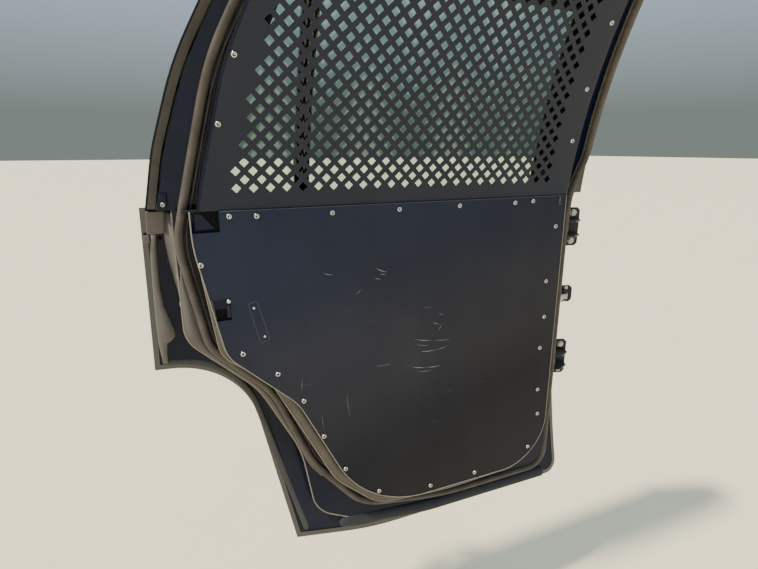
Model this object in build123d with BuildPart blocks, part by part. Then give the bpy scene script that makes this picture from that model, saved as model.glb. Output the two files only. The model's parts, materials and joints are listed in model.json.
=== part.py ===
"""Left rear door of a full-size utility vehicle, with a window guard and a flat riveted lower panel.

The door is drawn along its own length: X runs from the hinges to the rear edge, Y points inboard and
Z is up. It stands open at OPENING degrees, so what is fixed to the pillar is drawn turned by that angle.
The origin is the middle of the lower hinge's two bolts, on the face that meets the pillar.
Lengths are millimetres. Outlines are pairs (behind the hinge axis, above the lower hinge).
"""

import os
from math import asin, atan2, cos, degrees, hypot, radians, sin

from build123d import *

# Swing of the door
OPENING = 72

# Hinges, in the closed vehicle's directions about the hinge axis
HINGE_SPACING = 400
PIN_R = 5
PIN_CLEARANCE = 0.05
KNUCKLE_R = 10
KNUCKLE_HALF = 12.5
EAR_CLEARANCE = 5.5
EAR_T = 5
LEAF_T = 5
PILLAR_LEAF_FACE = 48
PILLAR_LEAF_MIDDLE = 42
PILLAR_LEAF_W = 40
LEAF_H = 110
LEAF_CORNER = 8
PIN_HEAD_T = 3
LEAF_BOLT_SPACING = 80
BOLT_HOLE_R = 5.5
DOOR_LEAF_MIDDLE = 12
DOOR_LEAF_W = 46
KNUCKLE_ROOT_OUT = -12
KNUCKLE_ROOT_IN = 16

# Hinge ear's outline, closed vehicle's directions: behind the axis, inboard of the axis
EAR_POINTS = (
    (-PILLAR_LEAF_FACE + LEAF_T / 2, 26),
    (-18, 20),
    (-10, 0),
    (10, 0),
    (4, 30),
    (-22, 56),
    (-PILLAR_LEAF_FACE + LEAF_T / 2, 58),
)

# Check link
CHECK_HEIGHT = 200
CHECK_SLOT_Y = 20
CHECK_SLOT_W = 24
ARM_CLOSED = -10
ARM_T = 9
ARM_H = 16
ARM_TAIL = 14
ARM_EYE_R = 9
ARM_STOP_W = 14
ARM_CLEARANCE = 2.5
SHOE_CLEARANCE = 0.3
CHECK_PIN_R = 4
CHECK_EAR_GAP = 0.5
CHECK_EAR_T = 4
CHECK_EAR_OUT = 26
CHECK_EAR_IN = 54
CHECK_BOLT_SPACING = 36
CHECK_BOLT_R = 3.5
CHECK_BOX_W = 34
CHECK_BOX_H = 50
CHECK_BOX_DEPTH = 30
CHECK_PLATE_T = 2

# Door body: places across the door are depths outboard of the lower panel's inner face
FACE_TO_AXIS = 92
BELT = 505
TOP = 1000
FRONT_WALL = 30
LEADING_EDGE = -20
REAR_EDGE = 1062
SKIN_R = 2515
SKIN_WIDEST = 131
SKIN_WIDEST_HEIGHT = 260
SKIN_T = 1.2
SHEET_T = 1.5
HEM_W = 11
HEM_CLEARANCE = 0.15
FLANGE_W = 22
SHELF_RISE = 8
SEAL_LEDGE = 51
SERVICE_FRONT = 150
SERVICE_REAR = 640
SERVICE_BOTTOM = -200
SERVICE_TOP_GAP = 60

# Window: concentric bows about one line, upright below the bend
BOW_R = 1248
BEND = 365
GUARD_BOW = 11
GUARD_T = 2
GUARD_FLATS = 6
GUARD_LAP = 18
GUARD_TAIL = 27
TAIL_INSET = 3
FRAME_OUT = 103
FLANGE_T = 6
SHOULDER_RISE = 8
GLASS_OUT = 93
GLASS_T = 4
GLASS_DROP = 35
RUN_W = 10
RUN_GRIP = 8
RUN_LIP = 6
RUN_CLEARANCE = 0.3
SIGHT_MARGIN = 40
DIVISION_W = 32
DIVISION_FOOT = 748
DIVISION_LEAN = 3

# Flat lower panel
PANEL_T = 3
PANEL_GAP = 0.2
PANEL_FRONT = 92
PANEL_REAR = 965
EDGE_TRIM = 4
HAND_HOLE = 40
NOTCH_FRONT = 917
NOTCH_H = 44
NOTCH_HEIGHT = 312

# Trims
TRIM_T = 3
COVER_INSET = 4
COVER_REAR = 118
COVER_RISE = 14
CAP_NEAR = 46
CAP_FRONT = 1012
CAP_INSET = 20
CAP_H = 32

# Latch
LATCH_HEIGHT = 345
LATCH_WALL = 1006
LATCH_W = 42
LATCH_H = 76
LATCH_T = 30
STRIKER_H = 18
STRIKER_CUT = 5
STRIKER_DEPTH = 34
STRIKER_ROOM = 10

# Outer handle: rise is measured from the skin's widest point
HANDLE_X = 905
HANDLE_HEIGHT = 385
HANDLE_L = 214
HANDLE_H = 26
HANDLE_RISE = 40
HANDLE_ROOT = 12
HANDLE_T = 14
HANDLE_FOOT = 32
HANDLE_SLOPE = 14
HANDLE_BEND = 16
HANDLE_EDGE = 4
GASKET_T = 2.5
GASKET_MARGIN = 1

# Seals
BELT_FRONT = 141
BELT_REAR = 900
BELT_RISE = 10
BELT_LIP_GAP = 0.4
LEDGE_DROP = 30
LEDGE_LIP = 15
BELT_SEAL_W = 8
LIP_T = 4
SEAL_W = 14
SEAL_H = 14
SEAL_CLEARANCE = 0.3
SECOND_SEAL_W = 14
SECOND_SEAL_H = 10
SECOND_SEAL_INSET = 4

# Reach of the cutting blocks, past every face of the door
BEYOND = 200
PAST = 30

leaf = Vector(-PILLAR_LEAF_FACE, PILLAR_LEAF_MIDDLE).rotate(Axis.Z, OPENING)
AXIS_X = -leaf.X
AXIS_Y = -leaf.Y
FACE_Y = AXIS_Y + FACE_TO_AXIS

# SIDE looks outboard: x behind the hinge axis, y up. SECTION cuts across: x is depth, y is height.
SIDE = Plane(origin=(AXIS_X, FACE_Y + BEYOND, 0), x_dir=(1, 0, 0), z_dir=(0, -1, 0))
SECTION = Plane(origin=(AXIS_X + REAR_EDGE + BEYOND, FACE_Y, 0), x_dir=(0, -1, 0), z_dir=(-1, 0, 0))
PLAN = Plane(origin=(AXIS_X, AXIS_Y, 0))


def turned(angle):
    """Direction in plan at an angle from the open door's length."""
    return (cos(radians(angle)), sin(radians(angle)), 0)


PILLAR = Plane(origin=(AXIS_X, AXIS_Y, 0), x_dir=turned(OPENING), z_dir=(0, 0, 1))

os.makedirs("parts", exist_ok=True)


def save(piece, label):
    piece.label = label
    export_step(piece, f"parts/{label}.step")


# Outlines on the side view: corner x, corner z, radius of the corner

OVER_BELT = BELT + PAST
UNDER_BELT = BELT - 4 * PAST

BODY_CORNERS = (
    (LEADING_EDGE, OVER_BELT, 0),
    (LEADING_EDGE, -350, 40),
    (600, -350, 900),
    (797, -317, 0),
    (891, 148, 190),
    (REAR_EDGE + 9, 157, 0),
    (REAR_EDGE, OVER_BELT, 0),
)

LEDGE_CORNERS = (
    (FRONT_WALL, OVER_BELT, 0),
    (FRONT_WALL, -320, 50),
    (620, -318, 160),
    (748, -250, 90),
    (778, -70, 300),
    (868, 108, 200),
    (LATCH_WALL, 240, 70),
    (LATCH_WALL, OVER_BELT, 0),
)

PANEL_CORNERS = (
    (PANEL_FRONT, OVER_BELT, 0),
    (PANEL_FRONT, -245, 45),
    (399, -256, 900),
    (600, -238, 120),
    (708, -138, 160),
    (848, 146, 70),
    (940, 215, 60),
    (PANEL_REAR, 400, 400),
    (PANEL_REAR, OVER_BELT, 0),
)

FRAME_CORNERS = (
    (LEADING_EDGE, UNDER_BELT, 0),
    (-12, TOP - 4, 45),
    (560, TOP + 2, 900),
    (872, 960, 90),
    (980, 765, 600),
    (1030, 614, 500),
    (1075, UNDER_BELT, 0),
)

GUARD_CORNERS = (
    (90, UNDER_BELT, 0),
    (86, 958, 40),
    (560, 966, 600),
    (820, 930, 50),
    (899, 757, 500),
    (947, 562, 500),
    (985, UNDER_BELT, 0),
)

SEAL_CORNERS = (
    (45, -304, 55),
    (45, 500, 150),
    (3, 600, 150),
    (3, 980, 40),
    (560, 985, 700),
    (862, 945, 70),
    (923, 760, 500),
    (993, 480, 300),
    (993, 248, 120),
    (836, 94, 250),
    (752, -110, 250),
    (629, -260, 140),
    (398, -304, 900),
)


def rounded(table):
    """Closed face through corner points, each corner rounded by its own radius."""
    corners = [(x, z) for x, z, radius in table]
    radii = [radius for x, z, radius in table]
    with BuildSketch(SIDE) as face:
        with BuildLine():
            FilletPolyline(*corners, radius=radii, close=True)
        make_face()
    return face.sketch


def block(low, high):
    """Upright rectangle on the side view between two corners."""
    with BuildSketch(SIDE) as face:
        with Locations(((low[0] + high[0]) / 2, (low[1] + high[1]) / 2)):
            Rectangle(high[0] - low[0], high[1] - low[1])
    return face.sketch


def inset(face, amount):
    with BuildSketch(SIDE) as smaller:
        add(SIDE.to_local_coords(face))
        if amount:
            offset(amount=-amount, kind=Kind.INTERSECTION, mode=Mode.REPLACE)
    return smaller.sketch


def rim(face, start, end):
    """The strip of a face from one inset to another."""
    return inset(face, start) - inset(face, end)


# Sections across the door

def bowed(near, far, low=-TOP, high=TOP + PAST):
    """Section between two depths: upright below the bend, and bowed above it."""
    with BuildSketch(SECTION) as section:
        with Locations((-BOW_R, BEND)):
            Circle(BOW_R + far)
            Circle(BOW_R + near, mode=Mode.SUBTRACT)
        with Locations((0, BEND + TOP / 2)):
            Rectangle(2 * BOW_R, TOP, mode=Mode.INTERSECT)
        with Locations(((near + far) / 2, BEND - TOP / 2)):
            Rectangle(far - near, TOP)
        with Locations((0, (low + high) / 2)):
            Rectangle(2 * BOW_R, high - low, mode=Mode.INTERSECT)
    return section.sketch


def skinned(near, far):
    """Section between two distances inboard of the outer skin's face."""
    with BuildSketch(SECTION) as section:
        with Locations((SKIN_WIDEST - SKIN_R, SKIN_WIDEST_HEIGHT)):
            Circle(SKIN_R - near)
            Circle(SKIN_R - far, mode=Mode.SUBTRACT)
    return section.sketch


def depth_to_skin(depth, distance):
    """Section from a bowed depth out to a distance inboard of the skin."""
    with BuildSketch(SECTION) as section:
        with Locations((SKIN_WIDEST - SKIN_R, SKIN_WIDEST_HEIGHT)):
            Circle(SKIN_R - distance)
        with Locations((SKIN_WIDEST / 2, 0)):
            Rectangle(2 * SKIN_WIDEST, 2 * TOP, mode=Mode.INTERSECT)
        add(SECTION.to_local_coords(bowed(depth - 2 * SKIN_WIDEST, depth)), mode=Mode.SUBTRACT)
    return section.sketch


def pressed(face, section):
    """Sheet or moulding inside an outline on the side view that follows a section across the door."""
    with BuildPart() as sheet:
        extrude(face, amount=2 * BEYOND)
        extrude(section, amount=REAR_EDGE + 3 * BEYOND, mode=Mode.INTERSECT)
    return sheet.part


def height_band(low, high):
    """Section between two heights."""
    with BuildSketch(SECTION) as section:
        with Locations((0, (low + high) / 2)):
            Rectangle(2 * BEYOND, high - low)
    return section.sketch


def slab(near, far):
    """Section of a flat plate between two depths."""
    with BuildSketch(SECTION) as section:
        with Locations(((near + far) / 2, 0)):
            Rectangle(far - near, 3 * TOP)
    return section.sketch


body_face = rounded(BODY_CORNERS)
ledge_face = rounded(LEDGE_CORNERS)
panel_face = rounded(PANEL_CORNERS)
frame_face = rounded(FRAME_CORNERS)
guard_face = rounded(GUARD_CORNERS)
sight_face = inset(guard_face, SIGHT_MARGIN)
seal_face = rounded(SEAL_CORNERS)
belt_plane = Plane.XY.offset(BELT)

# Outer skin: bowed sheet with its edge folded round the inner panel's flange
fold = SKIN_T + SHEET_T + 2 * HEM_CLEARANCE
with BuildPart() as outer_skin:
    add(pressed(body_face, skinned(0, SKIN_T)))
    add(pressed(rim(body_face, 0, SKIN_T), skinned(0, fold + SKIN_T)))
    add(pressed(rim(body_face, 0, HEM_W), skinned(fold, fold + SKIN_T)))
    split(bisect_by=belt_plane, keep=Keep.BOTTOM)
save(outer_skin.part, "outer_skin")

# Inner panel: flange in the hem, raised shelf, seal ledge, and the ring that carries the lower panel
flange_face = inset(body_face, SKIN_T + HEM_CLEARANCE)
shelf_face = inset(body_face, FLANGE_W) & block((FRONT_WALL, -TOP), (REAR_EDGE + PAST, TOP))
ring_face = inset(panel_face, -EDGE_TRIM)
flange_near = SKIN_T + HEM_CLEARANCE
shelf_near = flange_near + SHELF_RISE
ring_near = PANEL_T + GUARD_T + 2 * PANEL_GAP
service_hole = block((SERVICE_FRONT, SERVICE_BOTTOM), (SERVICE_REAR, BELT - SERVICE_TOP_GAP))
striker_low = LATCH_HEIGHT - STRIKER_H / 2
striker_high = LATCH_HEIGHT + STRIKER_H / 2
striker_cut = block((LATCH_WALL - STRIKER_CUT, striker_low), (LATCH_WALL + SHEET_T, striker_high))
front_wall_plane = Plane(origin=(AXIS_X + FRONT_WALL, AXIS_Y, 0), x_dir=(0, -1, 0), z_dir=(-1, 0, 0))
with BuildPart() as inner_panel:
    add(pressed(flange_face - inset(shelf_face, SHEET_T), skinned(flange_near, flange_near + SHEET_T)))
    add(pressed(rim(shelf_face, 0, SHEET_T), skinned(flange_near, shelf_near + SHEET_T)))
    add(pressed(shelf_face - inset(ledge_face, SHEET_T), skinned(shelf_near, shelf_near + SHEET_T)))
    add(pressed(rim(ledge_face, 0, SHEET_T), depth_to_skin(SEAL_LEDGE, shelf_near)))
    add(pressed(ledge_face - inset(ring_face, SHEET_T), bowed(SEAL_LEDGE, SEAL_LEDGE + SHEET_T)))
    add(pressed(rim(ring_face, 0, SHEET_T), slab(ring_near, BEYOND) & bowed(-BEYOND, SEAL_LEDGE + SHEET_T)))
    add(pressed(ring_face - service_hole, slab(ring_near, ring_near + SHEET_T)))
    split(bisect_by=belt_plane, keep=Keep.BOTTOM)
    with BuildSketch(front_wall_plane):
        with Locations((-CHECK_SLOT_Y, CHECK_HEIGHT)):
            Rectangle(CHECK_SLOT_W, ARM_H + 2 * ARM_CLEARANCE)
    extrude(amount=SHEET_T + PANEL_GAP, both=True, mode=Mode.SUBTRACT)
    add(pressed(striker_cut, slab(SEAL_LEDGE - 1, SEAL_LEDGE + STRIKER_DEPTH)), mode=Mode.SUBTRACT)
save(inner_panel.part, "inner_panel")

# Flat lower panel, with a hand hole at its upper corner and a notch at its rear edge
hand_hole = block((PANEL_REAR - HAND_HOLE, BELT - HAND_HOLE), (REAR_EDGE, OVER_BELT))
notch = block((NOTCH_FRONT, NOTCH_HEIGHT - NOTCH_H / 2), (REAR_EDGE, NOTCH_HEIGHT + NOTCH_H / 2))
with BuildPart() as lower_panel:
    add(pressed(panel_face - hand_hole - notch, slab(0, PANEL_T)))
    split(bisect_by=belt_plane, keep=Keep.BOTTOM)
save(lower_panel.part, "lower_panel")

# Window frame: outer flange, box rail, the rim that carries the guard, and shoulders down to the skin
rail_far = FRAME_OUT - FLANGE_T
guard_r = BOW_R + GUARD_BOW
skin_at_belt = SKIN_WIDEST - SKIN_R + (SKIN_R ** 2 - (BELT - SKIN_WIDEST_HEIGHT) ** 2) ** 0.5
seal_strip = block((BELT_FRONT - RUN_CLEARANCE, BELT), (BELT_REAR + RUN_CLEARANCE, OVER_BELT))
shoulder_face = (frame_face & block((LEADING_EDGE, BELT), (REAR_EDGE, BELT + SHOULDER_RISE))) - seal_strip
shoulder_section = bowed(FRAME_OUT - FLANGE_T / 2, BEYOND) & slab(0, skin_at_belt)
with BuildPart() as window_frame:
    add(pressed(rim(frame_face, 0, FLANGE_W + PAST), bowed(rail_far, FRAME_OUT)))
    add(pressed(inset(frame_face, FLANGE_W) - sight_face, bowed(SEAL_LEDGE, rail_far)))
    add(pressed(rim(guard_face, -EDGE_TRIM, GUARD_LAP), bowed(GUARD_BOW + GUARD_T + PANEL_GAP, SEAL_LEDGE)))
    add(pressed(shoulder_face, shoulder_section))
    split(bisect_by=belt_plane, keep=Keep.TOP)
save(window_frame.part, "window_frame")

# Window guard: sheet pressed into flats along its bow, with a tail behind the lower panel
low_turn = asin((BELT - BEND) / guard_r)
high_turn = asin((TOP - BEND) / guard_r)
turns = [low_turn + (high_turn - low_turn) * step / GUARD_FLATS for step in range(GUARD_FLATS + 1)]
tail_near = PANEL_T + PANEL_GAP


def on_bow(radius, turn):
    return (radius * cos(turn) - BOW_R, BEND + radius * sin(turn))


with BuildSketch(SECTION) as guard_section:
    with BuildLine():
        Polyline(
            *[on_bow(guard_r, turn) for turn in turns],
            *[on_bow(guard_r + GUARD_T, turn) for turn in reversed(turns)],
            (tail_near + GUARD_T, BELT),
            (tail_near + GUARD_T, BELT - GUARD_TAIL),
            (tail_near, BELT - GUARD_TAIL),
            (tail_near, BELT),
            close=True,
        )
    make_face()
tail_rear = PANEL_REAR - HAND_HOLE - PANEL_GAP
tail_strip = block((PANEL_FRONT + TAIL_INSET, BELT - GUARD_TAIL), (tail_rear, BELT + GUARD_T))
with BuildPart() as window_guard:
    add(pressed(guard_face & block((0, BELT), (REAR_EDGE, TOP)), guard_section.sketch))
    add(pressed(tail_strip, guard_section.sketch))
save(window_guard.part, "window_guard")

# Glass, its rubber channel and the division bar
slot_near = GLASS_OUT - GLASS_T - RUN_CLEARANCE
slot_far = GLASS_OUT + RUN_CLEARANCE
channel = bowed(slot_near - RUN_LIP, slot_far + RUN_LIP)
glass_bottom = Plane.XY.offset(BELT - GLASS_DROP)
with BuildPart() as glass_run:
    add(pressed(rim(sight_face, RUN_CLEARANCE, RUN_W), channel))
    slot_rim = rim(sight_face, RUN_W - RUN_GRIP, RUN_W + PAST)
    add(pressed(slot_rim, bowed(slot_near, slot_far)), mode=Mode.SUBTRACT)
    split(bisect_by=glass_bottom, keep=Keep.TOP)
save(glass_run.part, "glass_run")


def leaning(left, right):
    """Upright strip on the side view that leans forward with the division bar."""
    lean = DIVISION_LEAN * (TOP - BELT) / 100
    with BuildSketch(SIDE) as face:
        with BuildLine():
            Polyline((left, BELT), (right, BELT), (right - lean, TOP), (left - lean, TOP), close=True)
        make_face()
    return face.sketch


glass_face = inset(sight_face, RUN_W - RUN_GRIP + RUN_CLEARANCE)
glass_section = bowed(GLASS_OUT - GLASS_T, GLASS_OUT, BELT - GLASS_DROP, TOP)
bar_left = DIVISION_FOOT - DIVISION_W / 2
bar_right = DIVISION_FOOT + DIVISION_W / 2
with BuildPart() as division_bar:
    add(pressed(leaning(bar_left, bar_right) & inset(sight_face, RUN_W + RUN_CLEARANCE), channel))
    split(bisect_by=Plane.XY.offset(BELT + BELT_RISE + RUN_CLEARANCE), keep=Keep.TOP)
save(division_bar.part, "division_bar")
front_of_bar = block((0, UNDER_BELT), (bar_left, BELT)) + leaning(0, bar_left - RUN_CLEARANCE)
behind_bar = leaning(bar_right + RUN_CLEARANCE, REAR_EDGE)
save(pressed(glass_face & front_of_bar, glass_section), "door_glass")
save(pressed(glass_face & behind_bar, glass_section), "quarter_glass")

# Rubber seals
seal_ring = rim(seal_face, -SEAL_W / 2, SEAL_W / 2)
weatherstrip = pressed(seal_ring, bowed(SEAL_LEDGE - SEAL_H, SEAL_LEDGE - SEAL_CLEARANCE))
save(weatherstrip, "weatherstrip")
second_ring = rim(frame_face, SECOND_SEAL_INSET, SECOND_SEAL_INSET + SECOND_SEAL_W)
with BuildPart() as secondary_seal:
    add(pressed(second_ring, bowed(rail_far - SECOND_SEAL_H, rail_far - SEAL_CLEARANCE)))
    split(bisect_by=belt_plane, keep=Keep.TOP)
save(secondary_seal.part, "secondary_seal")

# Belt: outer rubber strip beside the glass, and the inner ledge with its own strip
glass_at_belt = (BOW_R + GLASS_OUT) * cos(asin((BELT - BEND) / (BOW_R + GLASS_OUT))) - BOW_R
with BuildSketch(SECTION) as outer_belt_section:
    with BuildLine():
        Polyline(
            (glass_at_belt + BELT_LIP_GAP, BELT + BELT_RISE),
            (glass_at_belt + BELT_LIP_GAP + LIP_T, BELT + BELT_RISE),
            (skin_at_belt, BELT + SKIN_T),
            (skin_at_belt, BELT),
            (skin_at_belt - SKIN_T - BELT_LIP_GAP, BELT - BELT_RISE),
            (glass_at_belt + BELT_LIP_GAP + 2 * LIP_T, BELT - BELT_RISE),
            close=True,
        )
    make_face()
belt_run = block((BELT_FRONT, BELT - PAST), (BELT_REAR, OVER_BELT))
skin_clear = depth_to_skin(0, SKIN_T + BELT_LIP_GAP)
outer_belt_seal = pressed(belt_run, outer_belt_section.sketch & skin_clear)
save(outer_belt_seal, "outer_belt_seal")

belt_span = block((BELT_FRONT - RUN_W, BELT - PAST), (BELT_REAR + RUN_W, OVER_BELT))
ledge_near = ring_near + SHEET_T
ledge_end = glass_at_belt - GLASS_T - BELT_SEAL_W
ledge_top = BELT - PANEL_GAP
# Bars of the ledge's section: near depth, far depth, lowest height
ledge_bars = (
    (ledge_near, ledge_near + SHEET_T, BELT - LEDGE_DROP),
    (ledge_near, ledge_end, ledge_top - SHEET_T),
    (ledge_end - SHEET_T, ledge_end, BELT - LEDGE_LIP),
)
with BuildPart() as belt_ledge:
    for near, far, low in ledge_bars:
        add(pressed(belt_span, slab(near, far) & height_band(low, ledge_top)))
save(belt_ledge.part, "belt_ledge")
inner_belt_seal = pressed(
    belt_run, slab(ledge_end, ledge_end + BELT_SEAL_W - BELT_LIP_GAP) & height_band(BELT - BELT_RISE, BELT),
)
save(inner_belt_seal, "inner_belt_seal")

# Hinges: a pillar half with two goosenecked ears and a door half with one knuckle, on a pin
ear_near = KNUCKLE_HALF + EAR_CLEARANCE


def plate(width, height):
    """Blank of a leaf, with its corners cut."""
    with BuildSketch() as blank:
        Rectangle(width, height)
        chamfer(blank.vertices(), LEAF_CORNER)
    return blank.sketch


def turned_leaf(middle_height):
    """Plane on the pillar leaf's back face, looking at the door along the closed vehicle's X."""
    face = PILLAR.from_local_coords(Vector(-PILLAR_LEAF_FACE, PILLAR_LEAF_MIDDLE, middle_height))
    return Plane(origin=face, x_dir=PILLAR.y_dir, z_dir=PILLAR.x_dir)


for name, height in (("lower", 0), ("upper", HINGE_SPACING)):
    with BuildPart() as pillar_leaf:
        with BuildSketch(turned_leaf(height)):
            add(plate(PILLAR_LEAF_W, LEAF_H))
            with GridLocations(0, LEAF_BOLT_SPACING, 1, 2):
                Circle(BOLT_HOLE_R, mode=Mode.SUBTRACT)
        extrude(amount=LEAF_T)
        for ear_bottom in (height - ear_near - EAR_T, height + ear_near):
            with BuildSketch(PILLAR.offset(ear_bottom)):
                with BuildLine():
                    Polyline(*EAR_POINTS, close=True)
                make_face()
                Circle(KNUCKLE_R)
                Circle(PIN_R, mode=Mode.SUBTRACT)
            extrude(amount=EAR_T)
    save(pillar_leaf.part, f"pillar_leaf_{name}")

    with BuildPart() as hinge_pin:
        with BuildSketch(PLAN.offset(height - ear_near - EAR_T - PIN_HEAD_T)):
            Circle(PIN_R)
        extrude(amount=2 * (ear_near + EAR_T + PIN_HEAD_T))
        for head_bottom in (height - ear_near - EAR_T - PIN_HEAD_T, height + ear_near + EAR_T):
            with BuildSketch(PLAN.offset(head_bottom)):
                RegularPolygon(PIN_R + PIN_HEAD_T, 6)
            extrude(amount=PIN_HEAD_T)
    save(hinge_pin.part, f"hinge_pin_{name}")

    with BuildPart() as door_leaf:
        with BuildSketch(front_wall_plane):
            with Locations((-DOOR_LEAF_MIDDLE, height)):
                add(plate(DOOR_LEAF_W, LEAF_H))
        extrude(amount=LEAF_T)
        with BuildSketch(PLAN.offset(height - KNUCKLE_HALF)):
            with BuildLine():
                Polyline(
                    (FRONT_WALL - LEAF_T, KNUCKLE_ROOT_OUT),
                    (FRONT_WALL - LEAF_T, KNUCKLE_ROOT_IN),
                    (0, KNUCKLE_R),
                    (0, -KNUCKLE_R),
                    close=True,
                )
            make_face()
            Circle(KNUCKLE_R)
            Circle(PIN_R + PIN_CLEARANCE, mode=Mode.SUBTRACT)
        extrude(amount=2 * KNUCKLE_HALF)
    save(door_leaf.part, f"door_leaf_{name}")

# Check link: an arm pivots on the pillar and slides through a slot in the door's front wall
slot_r = hypot(FRONT_WALL, CHECK_SLOT_Y)
slot_turn = degrees(atan2(CHECK_SLOT_Y, FRONT_WALL))
pivot_turn = 2 * (90 + ARM_CLOSED) - slot_turn
arm_open = ARM_CLOSED + OPENING / 2
pivot = Vector(slot_r * cos(radians(pivot_turn)), slot_r * sin(radians(pivot_turn)), CHECK_HEIGHT)
pivot_open = PILLAR.from_local_coords(pivot)
reach_open = 2 * slot_r * sin(radians(pivot_turn + OPENING - slot_turn) / 2)
ARM = Plane(origin=pivot_open, x_dir=turned(arm_open), z_dir=(0, 0, 1))
arm_end = reach_open + ARM_TAIL + ARM_T
with BuildPart() as check_arm:
    with BuildSketch(ARM.offset(-ARM_H / 2)):
        Circle(ARM_EYE_R)
        with Locations((arm_end / 2, 0)):
            Rectangle(arm_end, ARM_T)
        with Locations((arm_end - ARM_T / 2, 0)):
            Rectangle(ARM_T, ARM_STOP_W)
        Circle(CHECK_PIN_R + PIN_CLEARANCE, mode=Mode.SUBTRACT)
    extrude(amount=ARM_H)
save(check_arm.part, "check_arm")

check_ear = ARM_H / 2 + CHECK_EAR_GAP
with BuildPart() as check_bracket:
    with BuildSketch(turned_leaf(CHECK_HEIGHT)):
        add(plate(PILLAR_LEAF_W, CHECK_BOX_H))
        with GridLocations(0, CHECK_BOLT_SPACING, 1, 2):
            Circle(CHECK_BOLT_R, mode=Mode.SUBTRACT)
    extrude(amount=LEAF_T)
    for ear_bottom in (CHECK_HEIGHT - check_ear - CHECK_EAR_T, CHECK_HEIGHT + check_ear):
        with BuildSketch(PILLAR.offset(ear_bottom)):
            with BuildLine():
                Polyline(
                    (-PILLAR_LEAF_FACE + LEAF_T / 2, CHECK_EAR_OUT),
                    (pivot.X, pivot.Y - ARM_EYE_R),
                    (pivot.X, pivot.Y + ARM_EYE_R),
                    (-PILLAR_LEAF_FACE + LEAF_T / 2, CHECK_EAR_IN),
                    close=True,
                )
            make_face()
            with Locations((pivot.X, pivot.Y)):
                Circle(ARM_EYE_R)
        extrude(amount=CHECK_EAR_T)
    with BuildSketch(PILLAR.offset(CHECK_HEIGHT - check_ear)):
        with Locations((pivot.X, pivot.Y)):
            Circle(CHECK_PIN_R)
    extrude(amount=2 * check_ear)
save(check_bracket.part, "check_bracket")

# Check box: the slotted housing on the front wall, whose two shoes guide the arm above and below
box_plane = Plane(origin=(AXIS_X + FRONT_WALL + SHEET_T, AXIS_Y, 0), x_dir=(0, 1, 0), z_dir=(1, 0, 0))
with BuildPart() as check_box:
    with BuildSketch(box_plane):
        with Locations((CHECK_SLOT_Y, CHECK_HEIGHT)):
            add(plate(CHECK_BOX_W, CHECK_BOX_H))
    extrude(amount=CHECK_BOX_DEPTH)
    with BuildSketch(box_plane):
        with Locations((CHECK_SLOT_Y, CHECK_HEIGHT)):
            Rectangle(CHECK_SLOT_W, ARM_H + 2 * ARM_CLEARANCE)
    extrude(amount=CHECK_PLATE_T, mode=Mode.SUBTRACT)
    with BuildSketch(box_plane.offset(CHECK_PLATE_T)):
        with Locations((CHECK_SLOT_Y, CHECK_HEIGHT)):
            Rectangle(CHECK_BOX_W, ARM_H + 2 * SHOE_CLEARANCE)
    extrude(amount=CHECK_BOX_DEPTH, mode=Mode.SUBTRACT)
save(check_box.part, "check_box")

# Latch: body inside the rear wall, open to the striker from inboard
latch_rear = LATCH_WALL - SHEET_T
latch_span = block(
    (latch_rear - LATCH_T, LATCH_HEIGHT - LATCH_H / 2),
    (latch_rear, LATCH_HEIGHT + LATCH_H / 2),
)
striker_room = block((latch_rear - STRIKER_ROOM, striker_low), (LATCH_WALL, striker_high))
latch_near = SEAL_LEDGE + SHEET_T + PANEL_GAP
with BuildPart() as latch:
    add(pressed(latch_span, slab(latch_near, latch_near + LATCH_W)))
    add(pressed(striker_room, slab(latch_near, SEAL_LEDGE + STRIKER_DEPTH)), mode=Mode.SUBTRACT)
save(latch.part, "latch")

# Outer handle: straight grip on two sloping feet, each on a gasket that follows the skin
handle_plane = Plane(
    origin=(AXIS_X + HANDLE_X, FACE_Y - SKIN_WIDEST, HANDLE_HEIGHT - HANDLE_H / 2),
    x_dir=(-1, 0, 0),
    z_dir=(0, 0, 1),
)


def handle_bow(half, rise, bend):
    """Upright trapezoid in plan, its two outer corners rounded."""
    with BuildSketch() as bow:
        with BuildLine():
            FilletPolyline(
                (-half, -HANDLE_ROOT),
                (-half + HANDLE_SLOPE, rise),
                (half - HANDLE_SLOPE, rise),
                (half, -HANDLE_ROOT),
                radius=[0, bend, bend, 0],
                close=True,
            )
        make_face()
    return bow.sketch


handle_half = HANDLE_L / 2
handle_span = block(
    (HANDLE_X - HANDLE_L, HANDLE_HEIGHT - HANDLE_H),
    (HANDLE_X + HANDLE_L, HANDLE_HEIGHT + HANDLE_H),
)
with BuildPart() as outer_handle:
    with BuildSketch(handle_plane):
        add(handle_bow(handle_half, HANDLE_RISE, HANDLE_BEND))
    extrude(amount=HANDLE_H)
    ends = outer_handle.faces().filter_by(Axis.Z).edges() - outer_handle.faces().sort_by(Axis.Y)[-1].edges()
    chamfer(ends, HANDLE_EDGE)
    with BuildSketch(handle_plane):
        add(handle_bow(handle_half - HANDLE_FOOT, HANDLE_RISE - HANDLE_T, HANDLE_BEND / 2))
    extrude(amount=HANDLE_H, mode=Mode.SUBTRACT)
    add(pressed(handle_span, skinned(-GASKET_T - HEM_CLEARANCE, SKIN_WIDEST)), mode=Mode.SUBTRACT)
save(outer_handle.part, "outer_handle")

foot_middle = handle_half - HANDLE_FOOT / 2
with BuildSketch(SIDE) as gasket_faces:
    for side in (-foot_middle, foot_middle):
        with Locations((HANDLE_X + side, HANDLE_HEIGHT)):
            Rectangle(HANDLE_FOOT + 2 * GASKET_MARGIN, HANDLE_H + 2 * GASKET_MARGIN)
save(pressed(gasket_faces.sketch, skinned(-GASKET_T, -HEM_CLEARANCE)), "handle_gaskets")

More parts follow.
